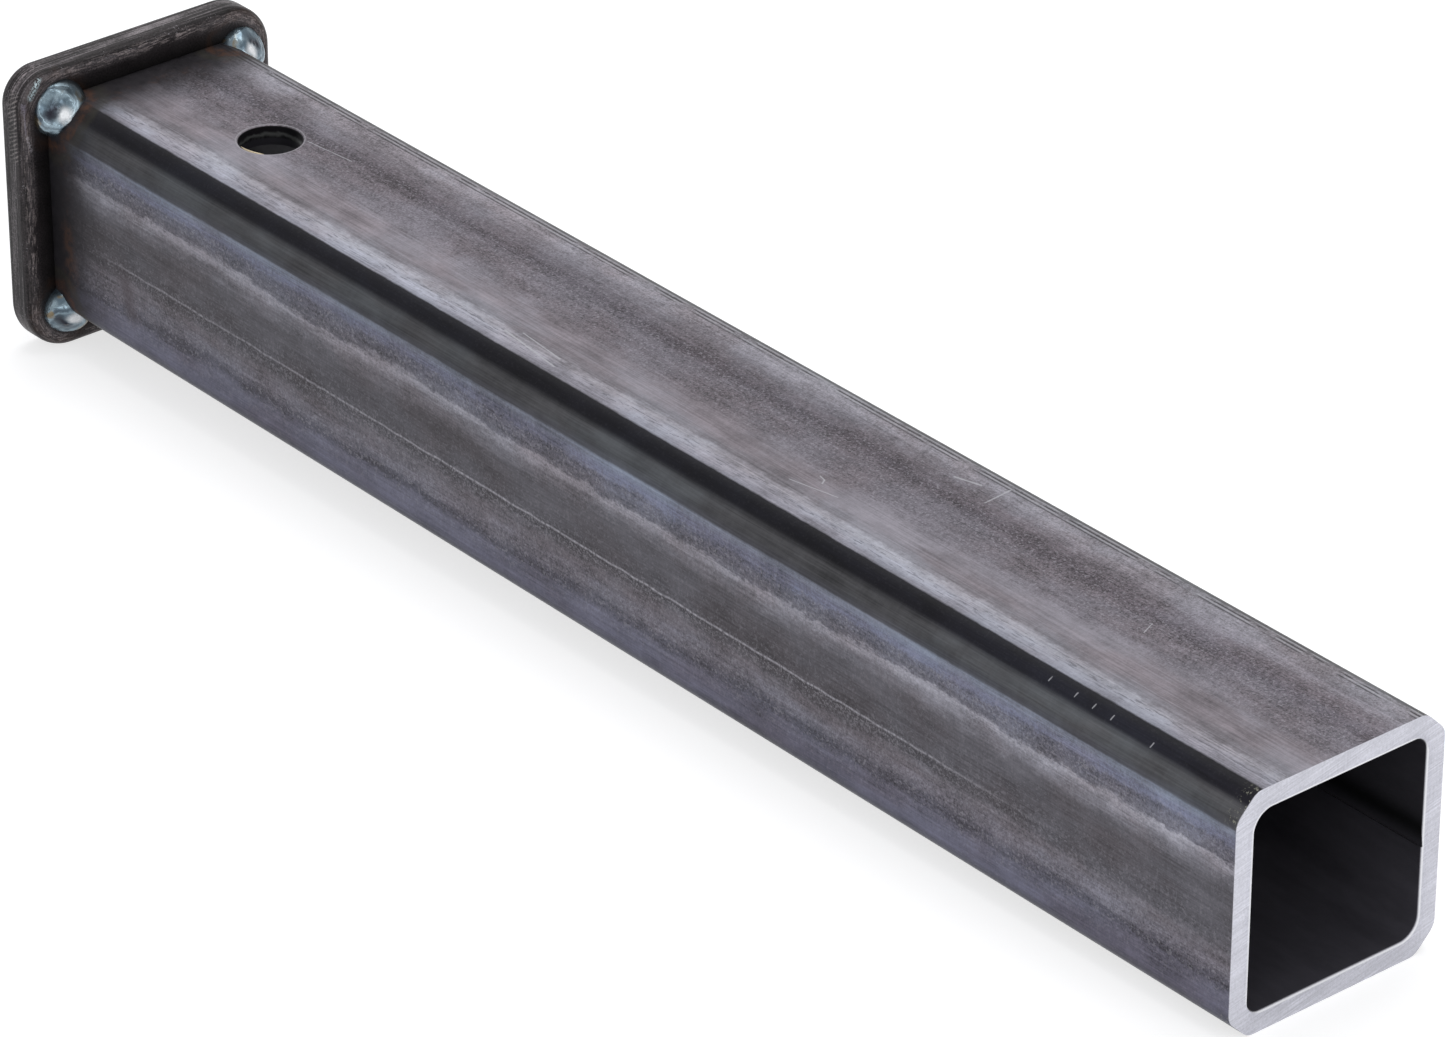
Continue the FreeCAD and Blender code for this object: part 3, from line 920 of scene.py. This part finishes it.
@dataclass(frozen=True)
class ForgeScale(Finish):
    """Dark scale of the forged collar, drawn into lines and rubbed lighter at its edges.

    Lengths are in millimetres. A spray of light flecks has its stroke, its colour and how
    much of the grain it skips.
    """

    name: str = "forge_scale"
    half: float = 40.3
    corner: float = 13.0
    deep: Colour = (0.062, 0.056, 0.058)
    dark: Colour = (0.160, 0.145, 0.150)
    side: Colour = (0.205, 0.190, 0.195)
    front: Colour = (0.27, 0.25, 0.26)
    rubbed: Colour = (0.53, 0.505, 0.515)
    worn_edge: Colour = (0.60, 0.56, 0.555)
    fleck: Colour = (0.66, 0.62, 0.63)
    tick: Colour = (0.55, 0.525, 0.52)
    speck: Colour = (0.62, 0.61, 0.63)
    rust: Colour = (0.25, 0.17, 0.12)
    sprays: Tuple[Tuple[Stroke, Colour, float], ...] = (
        (((9.5, -36.6, 34.6), (0.0, 2.9, 4.2), 1.3), (0.82, 0.90, 0.92), 0.42),
        (((9.3, -38.8, 33.0), (0.0, 0.1, -1.6), 1.2), (0.46, 0.44, 0.49), 0.40),
        (((9.3, -38.8, 31.5), (0.0, 0.3, -7.0), 0.35), (0.56, 0.54, 0.58), 0.36),
        (((9.4, -38.3, 23.6), (0.0, 1.0, -3.8), 0.8), (0.70, 0.68, 0.70), 0.46),
    )

    def edges(self, coat: Coat, distance: Field, outer: Field) -> Field:
        """Paint the drawn lines, and the rubbed and worn metal on the edges.

        Args:
            coat: The material being painted.
            distance: Distance outside the collar's outline.
            outer: The share of the outer side.

        Returns:
            The drawn lines.
        """
        x, y, z = coat.xyz
        round_it = y - z
        flat = coat.joined(round_it, x, 0.0)
        lines = flat.pattern(Effect.STREAKS, Along=24.0, Across=0.55, Seed=4.0)
        broad = flat.pattern(Effect.STREAKS, Along=60.0, Across=2.2, Seed=14.0)
        drawn = lines * 0.55 + broad * 0.45
        across_edge = x.step(8.6, 6.0) * x.step(1.4, 3.6)
        lower_side = y.step(-38.0, -40.0) * z.step(20.0, 8.0) * -0.35
        lit = outer * drawn.step(0.46, 0.58) * (across_edge.spread(0.25, 0.90) + lower_side)
        coat.paint(self.rubbed, lit)
        coat.paint(self.deep, lines.step(0.46, 0.40) * outer * 0.6)
        wrapped = coat.joined(round_it, x, distance)
        worn = wrapped.pattern(Effect.STREAKS, Along=3.0, Across=0.42, Seed=24.0)
        on_edge = distance.bell(-2.2, 2.2) * x.step(6.4, 8.0) * worn.step(0.50, 0.60)
        coat.paint(self.worn_edge, on_edge * 0.65)
        round_corner = (abs(y) + abs(z)).step(69.0, 72.0)
        flecks = x.bell(4.6, 2.2) * outer * round_corner * worn.step(0.54, 0.60) * 0.75
        coat.paint(self.fleck, flecks)
        return drawn

    def chatter(self, coat: Coat) -> None:
        """Paint the slanted chatter marks on the right side.

        Args:
            coat: The material being painted.
        """
        x, y, z = coat.xyz
        jitter = coat.joined(0.0, 0.0, z).noise(3.0, 2.0).spread(-1.2, 1.2)
        wave = coat.math("SINE", (z - x * 0.6 + jitter) * 5.2)
        across = x.step(3.8, 4.6) * x.step(8.0, 7.2)
        upright = z.step(14.5, 18.0) * z.step(36.8, 34.8)
        on_side = y.step(-38.4, -39.6) * across * upright
        coat.paint(self.dark, on_side * 0.45)
        coat.paint(self.tick, wave.step(0.1, 0.7) * on_side * 0.8)

    def lay_out(self, coat: Coat) -> None:
        """Paint the dark scale with painted shade by the tube and on the right side, its lines,
        chatter marks, rubbed edges and flecks.

        Args:
            coat: The material being painted.
        """
        place, (x, y, z) = coat.place, coat.xyz
        distance = place.pattern(Effect.OUTLINE, Half=self.half, Corner=self.corner)
        patches = place.pattern(Effect.MOTTLE, Size=8.0, Seed=11.0)
        grain = place.noise(0.5, 2.0, 0.7)
        frayed = distance + grain.spread(-0.5, 0.5)
        # The rear face grows darker towards the tube: heat tint, and painted shade where the collar
        # meets the tube.
        coat.colour = coat.mix(frayed.step(-8.6, -3.6), self.deep, self.dark)
        outer = frayed.step(-5.0, -2.3)
        coat.paint(self.side, outer)
        drawn = self.edges(coat, distance, outer)
        self.chatter(coat)
        fringe = x.step(2.6, 1.6).at_least(x.bell(8.4, 1.5) * z.step(38.6, 39.8))
        coat.paint(self.deep, fringe * 0.55)
        coat.paint(self.front, x.step(0.5, 0.1) * patches.step(0.30, 0.62))
        # Painted shade on the right side of the collar, towards its front.
        right_side_painted_shade = y.step(-38.0, -40.0).spread(0.22, 0.42)
        tone = patches.spread(-0.8, 0.8) + 1.0 + grain.spread(-1.3, 1.3)
        tone -= x.step(7.6, 5.0) * right_side_painted_shade
        coat.shade(tone.at_least(0.25))
        specks = place.pattern(Effect.SPECKS, Size=0.5, Amount=0.11, Seed=9.0)
        rim = distance.step(-3.6, -2.2) * patches.step(0.44, 0.60)
        coat.paint(self.speck, specks * rim * 0.55)
        for stroke, glow, gaps in self.sprays:
            coat.paint(glow, place.stroke(stroke, patches) * grain.step(gaps, gaps + 0.10))
        _, rust, _ = place.effect(Effect.HEAT)
        coat.paint(self.rust, rust * 0.3)
        coat.close(patches.spread(0.36, 0.56), 0.35, specular=0.2)
        coat.bump(grain * 0.4 + drawn * 0.6, 0.12)


@dataclass(frozen=True)
class WeldMetal(Finish):
    """Glossy weld metal: blue-grey pool, purple with painted shade towards the collar and a painted
    highlight beside the pit.
    """

    name: str = "weld_metal"
    collar: float = 9.5
    offset: float = 28.8
    inward: Place = (0.7071, -0.5, -0.5)
    sideways: Place = (0.0, 0.7071, -0.7071)
    pool: Colour = (0.37, 0.435, 0.48)
    pale: Colour = (0.57, 0.64, 0.68)
    purple_and_painted_shade: Colour = (0.15, 0.14, 0.175)
    painted_lip_shade: Colour = (0.17, 0.20, 0.22)
    straw: Colour = (0.50, 0.42, 0.27)
    pit_highlight: Colour = (0.95, 0.96, 0.97)

    def lay_out(self, coat: Coat) -> None:
        """Paint the pool, its lips, the painted highlight beside the pit, the painted shade and the
        temper stains.

        Args:
            coat: The material being painted.
        """
        place, (x, y, z) = coat.place, coat.xyz
        folded = coat.joined(x - self.collar, abs(y) - self.offset, abs(z) - self.offset)
        wobble = place.noise(2.4, 3.0, 0.5).spread(-1.3, 1.3)
        inward = coat.vector("DOT_PRODUCT", folded, self.inward)
        sideways = coat.vector("DOT_PRODUCT", folded, self.sideways)
        reach = coat.vector("LENGTH", coat.joined(inward, sideways, 0.0)) + wobble
        drift = inward + wobble
        clouds = place.noise(4.2, 2.0, 0.5)
        coat.colour = coat.mix(clouds.step(0.44, 0.66), self.pool, self.pale)
        # Painted shade on the wall of the dish towards the collar, over a purple temper colour.
        coat.paint(self.purple_and_painted_shade, drift.bell(-0.4, 2.8) * sideways.bell(1.8, 5.4) * 0.95)
        # Painted shade in the trough between the two lips.
        coat.paint(self.purple_and_painted_shade, reach.bell(5.3, 0.6) * 0.4)
        lips = reach.bell(4.6, 0.6).at_least(reach.bell(6.1, 0.6))
        # Pale paint on the raised lips: a painted highlight on the rings.
        coat.paint(self.pale, lips * 0.55)
        stains = coat.vector("ADD", place, 13.0).noise(4.0, 2.0, 0.5).step(0.55, 0.66)
        coat.paint(self.straw, stains * reach.step(3.6, 5.4) * 0.7)
        # Painted shade on the outer lip of the two nuggets on the right, holding down a lamp's
        # reflection there.
        coat.paint(self.painted_lip_shade, sideways.step(-3.8, -6.2) * y.step(10.0, -10.0) * 0.8)
        # Painted highlight beside the pit: near-white colour, with less metal there so that it
        # stays white.
        spot = (drift.bell(2.9, 2.6) * sideways.bell(0.2, 3.0) * 1.3).at_most(1.0)
        coat.paint(self.pit_highlight, spot)
        coat.paint(self.purple_and_painted_shade, reach.bell(0.0, 1.0) * 0.85)
        coat.shade(place.noise(0.5, 2.0, 0.6).spread(0.8, 1.2))
        coat.close(clouds.spread(0.16, 0.34), spot.spread(0.85, 0.35))
        coat.bump(lips * 0.5 + clouds * 0.5, 0.12)


@dataclass(frozen=True)
class BurrMetal(Finish):
    """Thin curl of bare metal left by the drill, with a painted glint in its colour."""

    name: str = "drill_burr"
    bare_metal_and_glint: Colour = (0.80, 0.74, 0.62)

    def lay_out(self, coat: Coat) -> None:
        """Paint a pale cream, slightly uneven metal, with a painted glint in its colour.

        Args:
            coat: The material being painted.
        """
        uneven = coat.place.noise(0.8, 3.0, 0.6)
        # Bare metal lifted to cream: a painted glint.
        coat.colour = coat.scaled(self.bare_metal_and_glint, uneven.spread(0.7, 1.2))
        coat.close(uneven.spread(0.2, 0.4), 0.6)


class Bench:
    """Short ways to model with operators, one object at a time."""

    @staticmethod
    def clear() -> None:
        """Leave edit mode and deselect everything."""
        if bpy.context.mode != "OBJECT":
            bpy.ops.object.mode_set(mode="OBJECT")
        bpy.ops.object.select_all(action="DESELECT")

    @classmethod
    def hold(cls, piece: bpy.types.Object) -> None:
        """Make one object the selected and active one.

        Args:
            piece: The object.
        """
        cls.clear()
        piece.select_set(True)
        bpy.context.view_layer.objects.active = piece

    @classmethod
    def edit(cls, piece: bpy.types.Object, chosen: Chooser = lambda _: True) -> int:
        """Enter edit mode with some of the vertices selected.

        Args:
            piece: The object.
            chosen: Says of a vertex's place whether it is wanted.

        Returns:
            How many vertices are selected.
        """
        if bpy.context.mode != "EDIT_MESH":
            cls.hold(piece)
            bpy.ops.object.mode_set(mode="EDIT")
        bpy.ops.mesh.select_mode(type="VERT")
        bpy.ops.mesh.select_all(action="DESELECT")
        mesh = bmesh.from_edit_mesh(piece.data)
        wanted = [vertex for vertex in mesh.verts if chosen(vertex.co)]
        for vertex in wanted:
            vertex.select = True
        mesh.select_flush(True)
        bmesh.update_edit_mesh(piece.data)
        return len(wanted)

    @classmethod
    def pull(cls, piece: bpy.types.Object, chosen: Chooser, shift: Vector, soft: float) -> None:
        """Move some vertices, and those near them by less.

        Args:
            piece: The object.
            chosen: Says of a vertex's place whether it is moved in full.
            shift: How far it moves.
            soft: How far round the chosen ones the move fades out.
        """
        if cls.edit(piece, chosen) == 0:
            raise RuntimeError(f"nothing to move on {piece.name}")
        bpy.ops.transform.translate(
            value=shift,
            use_proportional_edit=True,
            proportional_edit_falloff="SMOOTH",
            proportional_size=soft,
        )

    @classmethod
    def finish(cls, piece: bpy.types.Object) -> None:
        """Turn the faces outwards and put the object's place into its mesh.

        Args:
            piece: The object.
        """
        cls.edit(piece)
        bpy.ops.mesh.normals_make_consistent(inside=False)
        cls.hold(piece)
        bpy.ops.object.transform_apply(location=True, rotation=True, scale=True)

    @classmethod
    def apply(cls, piece: bpy.types.Object, kind: str, **settings: object) -> None:
        """Add a modifier and apply it.

        Args:
            piece: The object.
            kind: The modifier's type.
            **settings: Properties to set on it.
        """
        cls.hold(piece)
        added = piece.modifiers.new(kind.lower(), kind)
        for name, value in settings.items():
            setattr(added, name, value)
        bpy.ops.object.modifier_apply(modifier=added.name)


@dataclass
class WeldNugget:
    """One weld nugget in the angle between the collar and a corner of the tube.

    The nugget is shaped with its face upwards and then turned so that the face looks halfway
    between the tube's length and the corner's outward direction. Lengths are in millimetres.

    Attributes:
        place: Which corner it is at.
        side: -1 on the right, 1 on the left, along Y.
        level: -1 below, 1 above, along Z.
        radius: Radius of the bead.
        shift: How far it lies round the corner towards the side wall.
        dish: Depth of the hollow in its face.
        lip: Height of the raised lip round the hollow.
        pit: Depth of the dent left where the arc went out.
        stretch: How much longer it is round the corner than it is wide.
        collar: Thickness of the collar.
        offset: Distance of the corner from the tube's middle, along Y and Z.
        unevenness: Height of the bumps on its skin.
        bump_size: Size of those bumps.
        segments: How finely it is divided about its face's axis.
        rings: How finely it is divided along that axis.
    """

    place: str
    side: int
    level: int
    radius: float
    shift: float
    dish: float
    lip: float
    pit: float
    stretch: float = 1.0
    collar: float = 9.5
    offset: float = 28.8
    unevenness: float = 0.35
    bump_size: float = 2.6
    segments: int = 56
    rings: int = 40

    @property
    def name(self) -> str:
        """Name of the piece."""
        return f"nugget_{self.place}"

    @property
    def facing(self) -> Vector:
        """Direction in which the nugget's face looks."""
        return Vector((math.sqrt(2.0), self.side, self.level)).normalized()

    @property
    def turn(self) -> Quaternion:
        """Turn that sets the face outwards, with its longer way round the corner.

        Returns:
            The turn from the face-up position.
        """
        along = Vector((0.0, -self.side, self.level)).normalized()
        across = self.facing.cross(along)
        return Matrix((along, across, self.facing)).transposed().to_quaternion()

    @property
    def centre(self) -> Vector:
        """Centre of the bead, on the collar's rear face.

        Returns:
            The centre in metres.
        """
        diagonal = math.cos(math.radians(45.0)) * self.shift
        across = self.side * (self.offset + diagonal)
        height = self.level * (self.offset - diagonal)
        return Vector((self.collar, across, height)) * MM

    def build(self) -> bpy.types.Object:
        """Model the nugget.

        Returns:
            The finished object.
        """
        radius = self.radius * MM
        Bench.clear()
        bpy.ops.mesh.primitive_uv_sphere_add(
            segments=self.segments, ring_count=self.rings, radius=radius
        )
        piece = bpy.context.object
        piece.name = self.name
        for share, height, soft in (
            (0.25, -self.dish, 0.75),
            (0.62, self.lip, 0.22),
            (0.42, self.lip * 0.5, 0.12),
            (0.06, -self.pit, 0.20),
        ):
            self._push_ring(piece, share * radius, height * MM, soft * radius)
        Bench.edit(piece)
        bpy.ops.transform.resize(value=(self.stretch, 1.0, 1.0))
        Bench.clear()
        self._roughen(piece)
        piece.rotation_mode = "QUATERNION"
        piece.rotation_quaternion = self.turn
        piece.location = self.centre
        Bench.finish(piece)
        bpy.ops.object.shade_smooth()
        return piece

    def _push_ring(
        self, piece: bpy.types.Object, ring: float, height: float, soft: float
    ) -> None:
        """Raise or sink a ring of the face.

        Args:
            piece: The nugget, face up.
            ring: Radius of the ring about the face's axis, in metres.
            height: How far it rises.
            soft: How far from it the move fades out.
        """
        spacing = self.radius * MM * 0.09

        def on_ring(point: Vector) -> bool:
            """Say whether a vertex of the face is on the ring."""
            return point.z > 0.0 and abs(math.hypot(point.x, point.y) - ring) < spacing

        Bench.pull(piece, on_ring, Vector((0.0, 0.0, height)), soft)

    def _roughen(self, piece: bpy.types.Object) -> None:
        """Give the nugget the unevenness of hand-laid metal.

        Args:
            piece: The nugget, face up.
        """
        clouds = bpy.data.textures.new(f"{self.name}_unevenness", "CLOUDS")
        clouds.noise_scale = self.bump_size * MM
        clouds.noise_depth = 2
        Bench.apply(
            piece, "DISPLACE", texture=clouds, texture_coords="LOCAL",
            strength=self.unevenness * MM, mid_level=0.5,
        )
        Bench.apply(piece, "SUBSURF", levels=1, render_levels=1)


@dataclass
class PinHoleBurr:
    """Sliver of metal that the drill left on the rim of the pin hole.

    Attributes:
        centre: Distance of the hole from the mouth, in millimetres.
        radius: Radius of the arc.
        top: Height of the arc.
        start: Angle where it starts, in degrees.
        sweep: Angle that it covers.
        thickness: Radius of its cross-section.
        steps: Number of pieces that the arc has.
    """

    centre: float = 63.5
    radius: float = 8.2
    top: float = 31.55
    start: float = -104.0
    sweep: float = 56.0
    thickness: float = 0.34
    steps: int = 28

    @property
    def axis(self) -> Vector:
        """Centre of the arc, in metres."""
        return Vector((self.centre, 0.0, self.top)) * MM

    def outward(self, share: float) -> Vector:
        """Find the direction from the hole's axis to a place along the arc.

        Args:
            share: How far along the arc the place is, 0 to 1.

        Returns:
            The direction, one long.
        """
        angle = math.radians(self.start + self.sweep * share)
        return Vector((math.cos(angle), math.sin(angle), 0.0))

    def build(self) -> bpy.types.Object:
        """Model the sliver as a short arc that thins out at both ends.

        Returns:
            The finished object.
        """
        Bench.clear()
        bpy.ops.mesh.primitive_circle_add(
            vertices=10,
            radius=self.thickness * MM,
            location=self.axis + self.outward(0.0) * self.radius * MM,
            rotation=(math.radians(90.0), 0.0, math.radians(self.start)),
        )
        piece = bpy.context.object
        piece.name = "pin_hole_burr"
        bpy.ops.object.transform_apply(location=True, rotation=True, scale=True)
        Bench.edit(piece)
        bpy.ops.mesh.spin(
            steps=self.steps,
            angle=-math.radians(self.sweep),
            center=self.axis,
            axis=(0.0, 0.0, 1.0),
        )
        for index in range(self.steps + 1):
            self._thin(piece, index / self.steps)
        Bench.edit(piece)
        bpy.ops.mesh.remove_doubles(threshold=0.00001)
        Bench.finish(piece)
        bpy.ops.object.shade_smooth()
        return piece

    def _thin(self, piece: bpy.types.Object, share: float) -> None:
        """Shrink one cross-section by its place along the arc.

        Args:
            piece: The sliver.
            share: How far along the arc the cross-section is, 0 to 1.
        """
        out = self.outward(share)
        along = Vector((-out.y, out.x, 0.0))
        middle = self.axis + out * self.radius * MM
        reach = self.thickness * MM * 1.02

        def in_section(point: Vector) -> bool:
            """Say whether a vertex is in the cross-section."""
            away = point - middle
            return away.length < reach and abs(away.dot(along)) < 0.00004

        if Bench.edit(piece, in_section):
            size = max(0.02, math.sin(math.pi * share)) ** 0.7
            bpy.ops.transform.resize(value=(size, size, size), center_override=middle)


@dataclass
class Studio:
    """White floor and background, soft lamps and the camera.

    Attributes:
        collar_low: Lowest edge of the collar, X and Z in millimetres.
        tube_low: Lowest edge of the saw-cut end, X and Z in millimetres.
        camera_place: Where the camera stands, in millimetres.
        camera_target: What it looks at.
        lens: Its focal length for a sensor 36 mm wide.
        floor_size: Length of the floor's side, in metres.
        floor_paint: Linear colour of the floor's paint.
        floor_glow: How far the camera and mirrors see it lifted towards white.
        far_glow: How much more the camera sees of that away from the part.
        sky: Linear colour of the light from all round.
        sky_strength: Strength of that light.
        middle: What the lamps point at, in metres.
        lamps: Name, place in metres, side in metres and power in watts of each lamp.
    """

    collar_low: Tuple[float, float] = (7.1, -40.3)
    tube_low: Tuple[float, float] = (457.2, -31.75)
    camera_place: Place = (1412.344, -971.863, 853.280)
    camera_target: Place = (244.313, 0.0, -1.316)
    lens: float = 180.03
    floor_size: float = 14.0
    floor_paint: Tuple[float, ...] = (0.54, 0.54, 0.54, 1.0)
    floor_glow: float = 0.68
    far_glow: float = 0.32
    sky: Tuple[float, ...] = (0.93, 0.95, 1.0, 1.0)
    sky_strength: float = 0.45
    middle: Place = (0.23, 0.0, 0.0)
    lamps: Tuple[Tuple[str, Place, float, float], ...] = (
        ("overhead", (0.0, 0.30, 1.5), 1.2, 12.0),
        ("front", (1.9, -0.1, 0.9), 1.0, 5.0),
        ("side", (1.2, -1.7, 0.5), 1.0, 6.0),
    )

    def floor(self) -> None:
        """Lay the floor so that the part rests on its collar and on its far end."""
        Bench.clear()
        run = self.tube_low[0] - self.collar_low[0]
        rise = self.tube_low[1] - self.collar_low[1]
        bpy.ops.mesh.primitive_plane_add(size=self.floor_size)
        plane = bpy.context.object
        plane.name = "floor"
        plane.rotation_euler = (0.0, -math.atan2(rise, run), 0.0)
        level = self.collar_low[1] - self.collar_low[0] * rise / run
        plane.location = (0.0, 0.0, level * MM)
        bpy.ops.object.transform_apply(location=True, rotation=True, scale=True)
        plane.data.materials.append(self._floor_material())

    @staticmethod
    def _seen(graph: Graph) -> Tuple[Field, Field]:
        """Mark the rays that show the background.

        Args:
            graph: The graph of the floor or the world.

        Returns:
            1 for straight rays, and 1 for straight ones and those by way of metal or glass.
        """
        rays = graph.node("ShaderNodeLightPath").outputs
        straight, glossy, through = (
            Field(graph, rays[f"Is {kind} Ray"]) for kind in ("Camera", "Glossy", "Transmission")
        )
        return straight, straight.at_least(glossy.at_least(through))

    def _floor_material(self) -> bpy.types.Material:
        """Mix white paint, lifted for the camera and mirrors, that still takes a shadow.

        Returns:
            The material.
        """
        made = bpy.data.materials.new("studio_floor")
        made.use_nodes = True
        made.node_tree.nodes.clear()
        graph = Graph(made.node_tree)
        straight, seen = self._seen(graph)
        distance = graph.vector("LENGTH", graph.field("ShaderNodeTexCoord", {}, "Object"))
        far = distance.step(0.8, 2.0) * straight * self.far_glow
        glow = seen * self.floor_glow + far
        both = graph.field("ShaderNodeAddShader", {
            0: graph.field("ShaderNodeBsdfDiffuse", {"Color": self.floor_paint}),
            1: graph.field("ShaderNodeEmission", {"Color": WHITE, "Strength": glow}),
        })
        graph.node("ShaderNodeOutputMaterial", {"Surface": both})
        return made

    def world(self) -> None:
        """Even soft light from all round, and white behind the part."""
        world = bpy.data.worlds.new("studio")
        bpy.context.scene.world = world
        world.use_nodes = True
        world.node_tree.nodes.clear()
        graph = Graph(world.node_tree)
        straight, seen = self._seen(graph)
        soft = {"Color": self.sky, "Strength": self.sky_strength}
        white = {"Color": WHITE, "Strength": straight.spread(0.8, 1.0)}
        mixed = graph.field("ShaderNodeMixShader", {
            0: seen,
            1: graph.field("ShaderNodeBackground", soft),
            2: graph.field("ShaderNodeBackground", white),
        })
        graph.node("ShaderNodeOutputWorld", {"Surface": mixed})

    @staticmethod
    def place(name: str, data: bpy.types.ID, spot: Vector, target: Vector) -> bpy.types.Object:
        """Put a lamp or a camera in the scene.

        Args:
            name: Its name.
            data: The lamp or camera.
            spot: Where it goes, in metres.
            target: What it points at.

        Returns:
            The new object.
        """
        made = bpy.data.objects.new(name, data)
        made.location = spot
        made.rotation_euler = (target - spot).to_track_quat("-Z", "Y").to_euler()
        bpy.context.scene.collection.objects.link(made)
        return made

    def lamp(self, name: str, spot: Place, size: float, power: float) -> None:
        """Hang a square soft lamp.

        Args:
            name: Its name.
            spot: Where it hangs, in metres.
            size: Length of its side.
            power: Its power in watts.
        """
        light = bpy.data.lights.new(name, "AREA")
        light.shape = "SQUARE"
        light.size = size
        light.energy = power
        self.place(name, light, Vector(spot), Vector(self.middle))

    def camera(self) -> None:
        """Set the camera where the photograph was taken from."""
        data = bpy.data.cameras.new("camera")
        data.lens = self.lens
        data.sensor_width = 36.0
        data.clip_end = 50.0
        spot, target = (Vector(v) * MM for v in (self.camera_place, self.camera_target))
        bpy.context.scene.camera = self.place("camera", data, spot, target)

    def set_up(self) -> None:
        """Lay the floor and hang the lamps, the background and the camera."""
        self.floor()
        self.world()
        for lamp in self.lamps:
            self.lamp(*lamp)
        bpy.context.scene.view_settings.view_transform = "Standard"
        self.camera()


class ReceiverTube:
    """The whole part: dressed CAD nodes and the pieces modelled here."""

    def __init__(self, frame: Dict[str, object]) -> None:
        """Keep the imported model's nodes.
        """
        self.nodes: Dict[str, bpy.types.Object] = frame["nodes"]
        self.weld_metal = WeldMetal().material()
        self.nuggets: List[WeldNugget] = [
            WeldNugget("upper_right", -1, 1, 7.2, -0.8, 1.7, 0.35, 0.8, stretch=1.1),
            WeldNugget("upper_left", 1, 1, 6.9, 1.6, 1.6, 0.30, 0.6),
            WeldNugget("lower_right", -1, -1, 6.9, 0.2, 1.5, 0.15, 0.3),
            WeldNugget("lower_left", 1, -1, 7.0, 0.0, 1.6, 0.25, 0.5),
        ]

    def dress(self, node: str, finish: Finish) -> None:
        """Give a CAD node its finish.

        Args:
            node: Its name.
            finish: The finish.
        """
        target = self.nodes[node]
        target.data.materials.clear()
        target.data.materials.append(finish.material())
        LOG.info("%s dressed in %s", node, finish.name)

    def add(self, piece: bpy.types.Object, slot: str, material: bpy.types.Material) -> None:
        """Join a new piece to the part.

        Args:
            piece: The finished object.
            slot: The record's material slot for it; not used.
            material: Its material.
        """
        piece.data.materials.clear()
        piece.data.materials.append(material)
        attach(piece, "root")
        LOG.info("%s made with %d vertices", piece.name, len(piece.data.vertices))

    def build(self) -> None:
        """Dress the CAD nodes and build the pieces that replace or join them."""
        self.dress("receiver_tube", MillScale())
        self.dress("mouth_collar", ForgeScale())
        for nugget in self.nuggets:
            piece = nugget.build()
            self.add(piece, "weld_metal", self.weld_metal)
            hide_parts(f"corner_weld_{nugget.place}")
        self.add(PinHoleBurr().build(), "tube_scale", BurrMetal().material())


def main() -> None:
    """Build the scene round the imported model."""
    logging.basicConfig(level=logging.INFO, format="%(name)s: %(message)s")
    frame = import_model()
    ReceiverTube(frame).build()
    Studio().set_up()


if __name__ == "__main__":
    main()
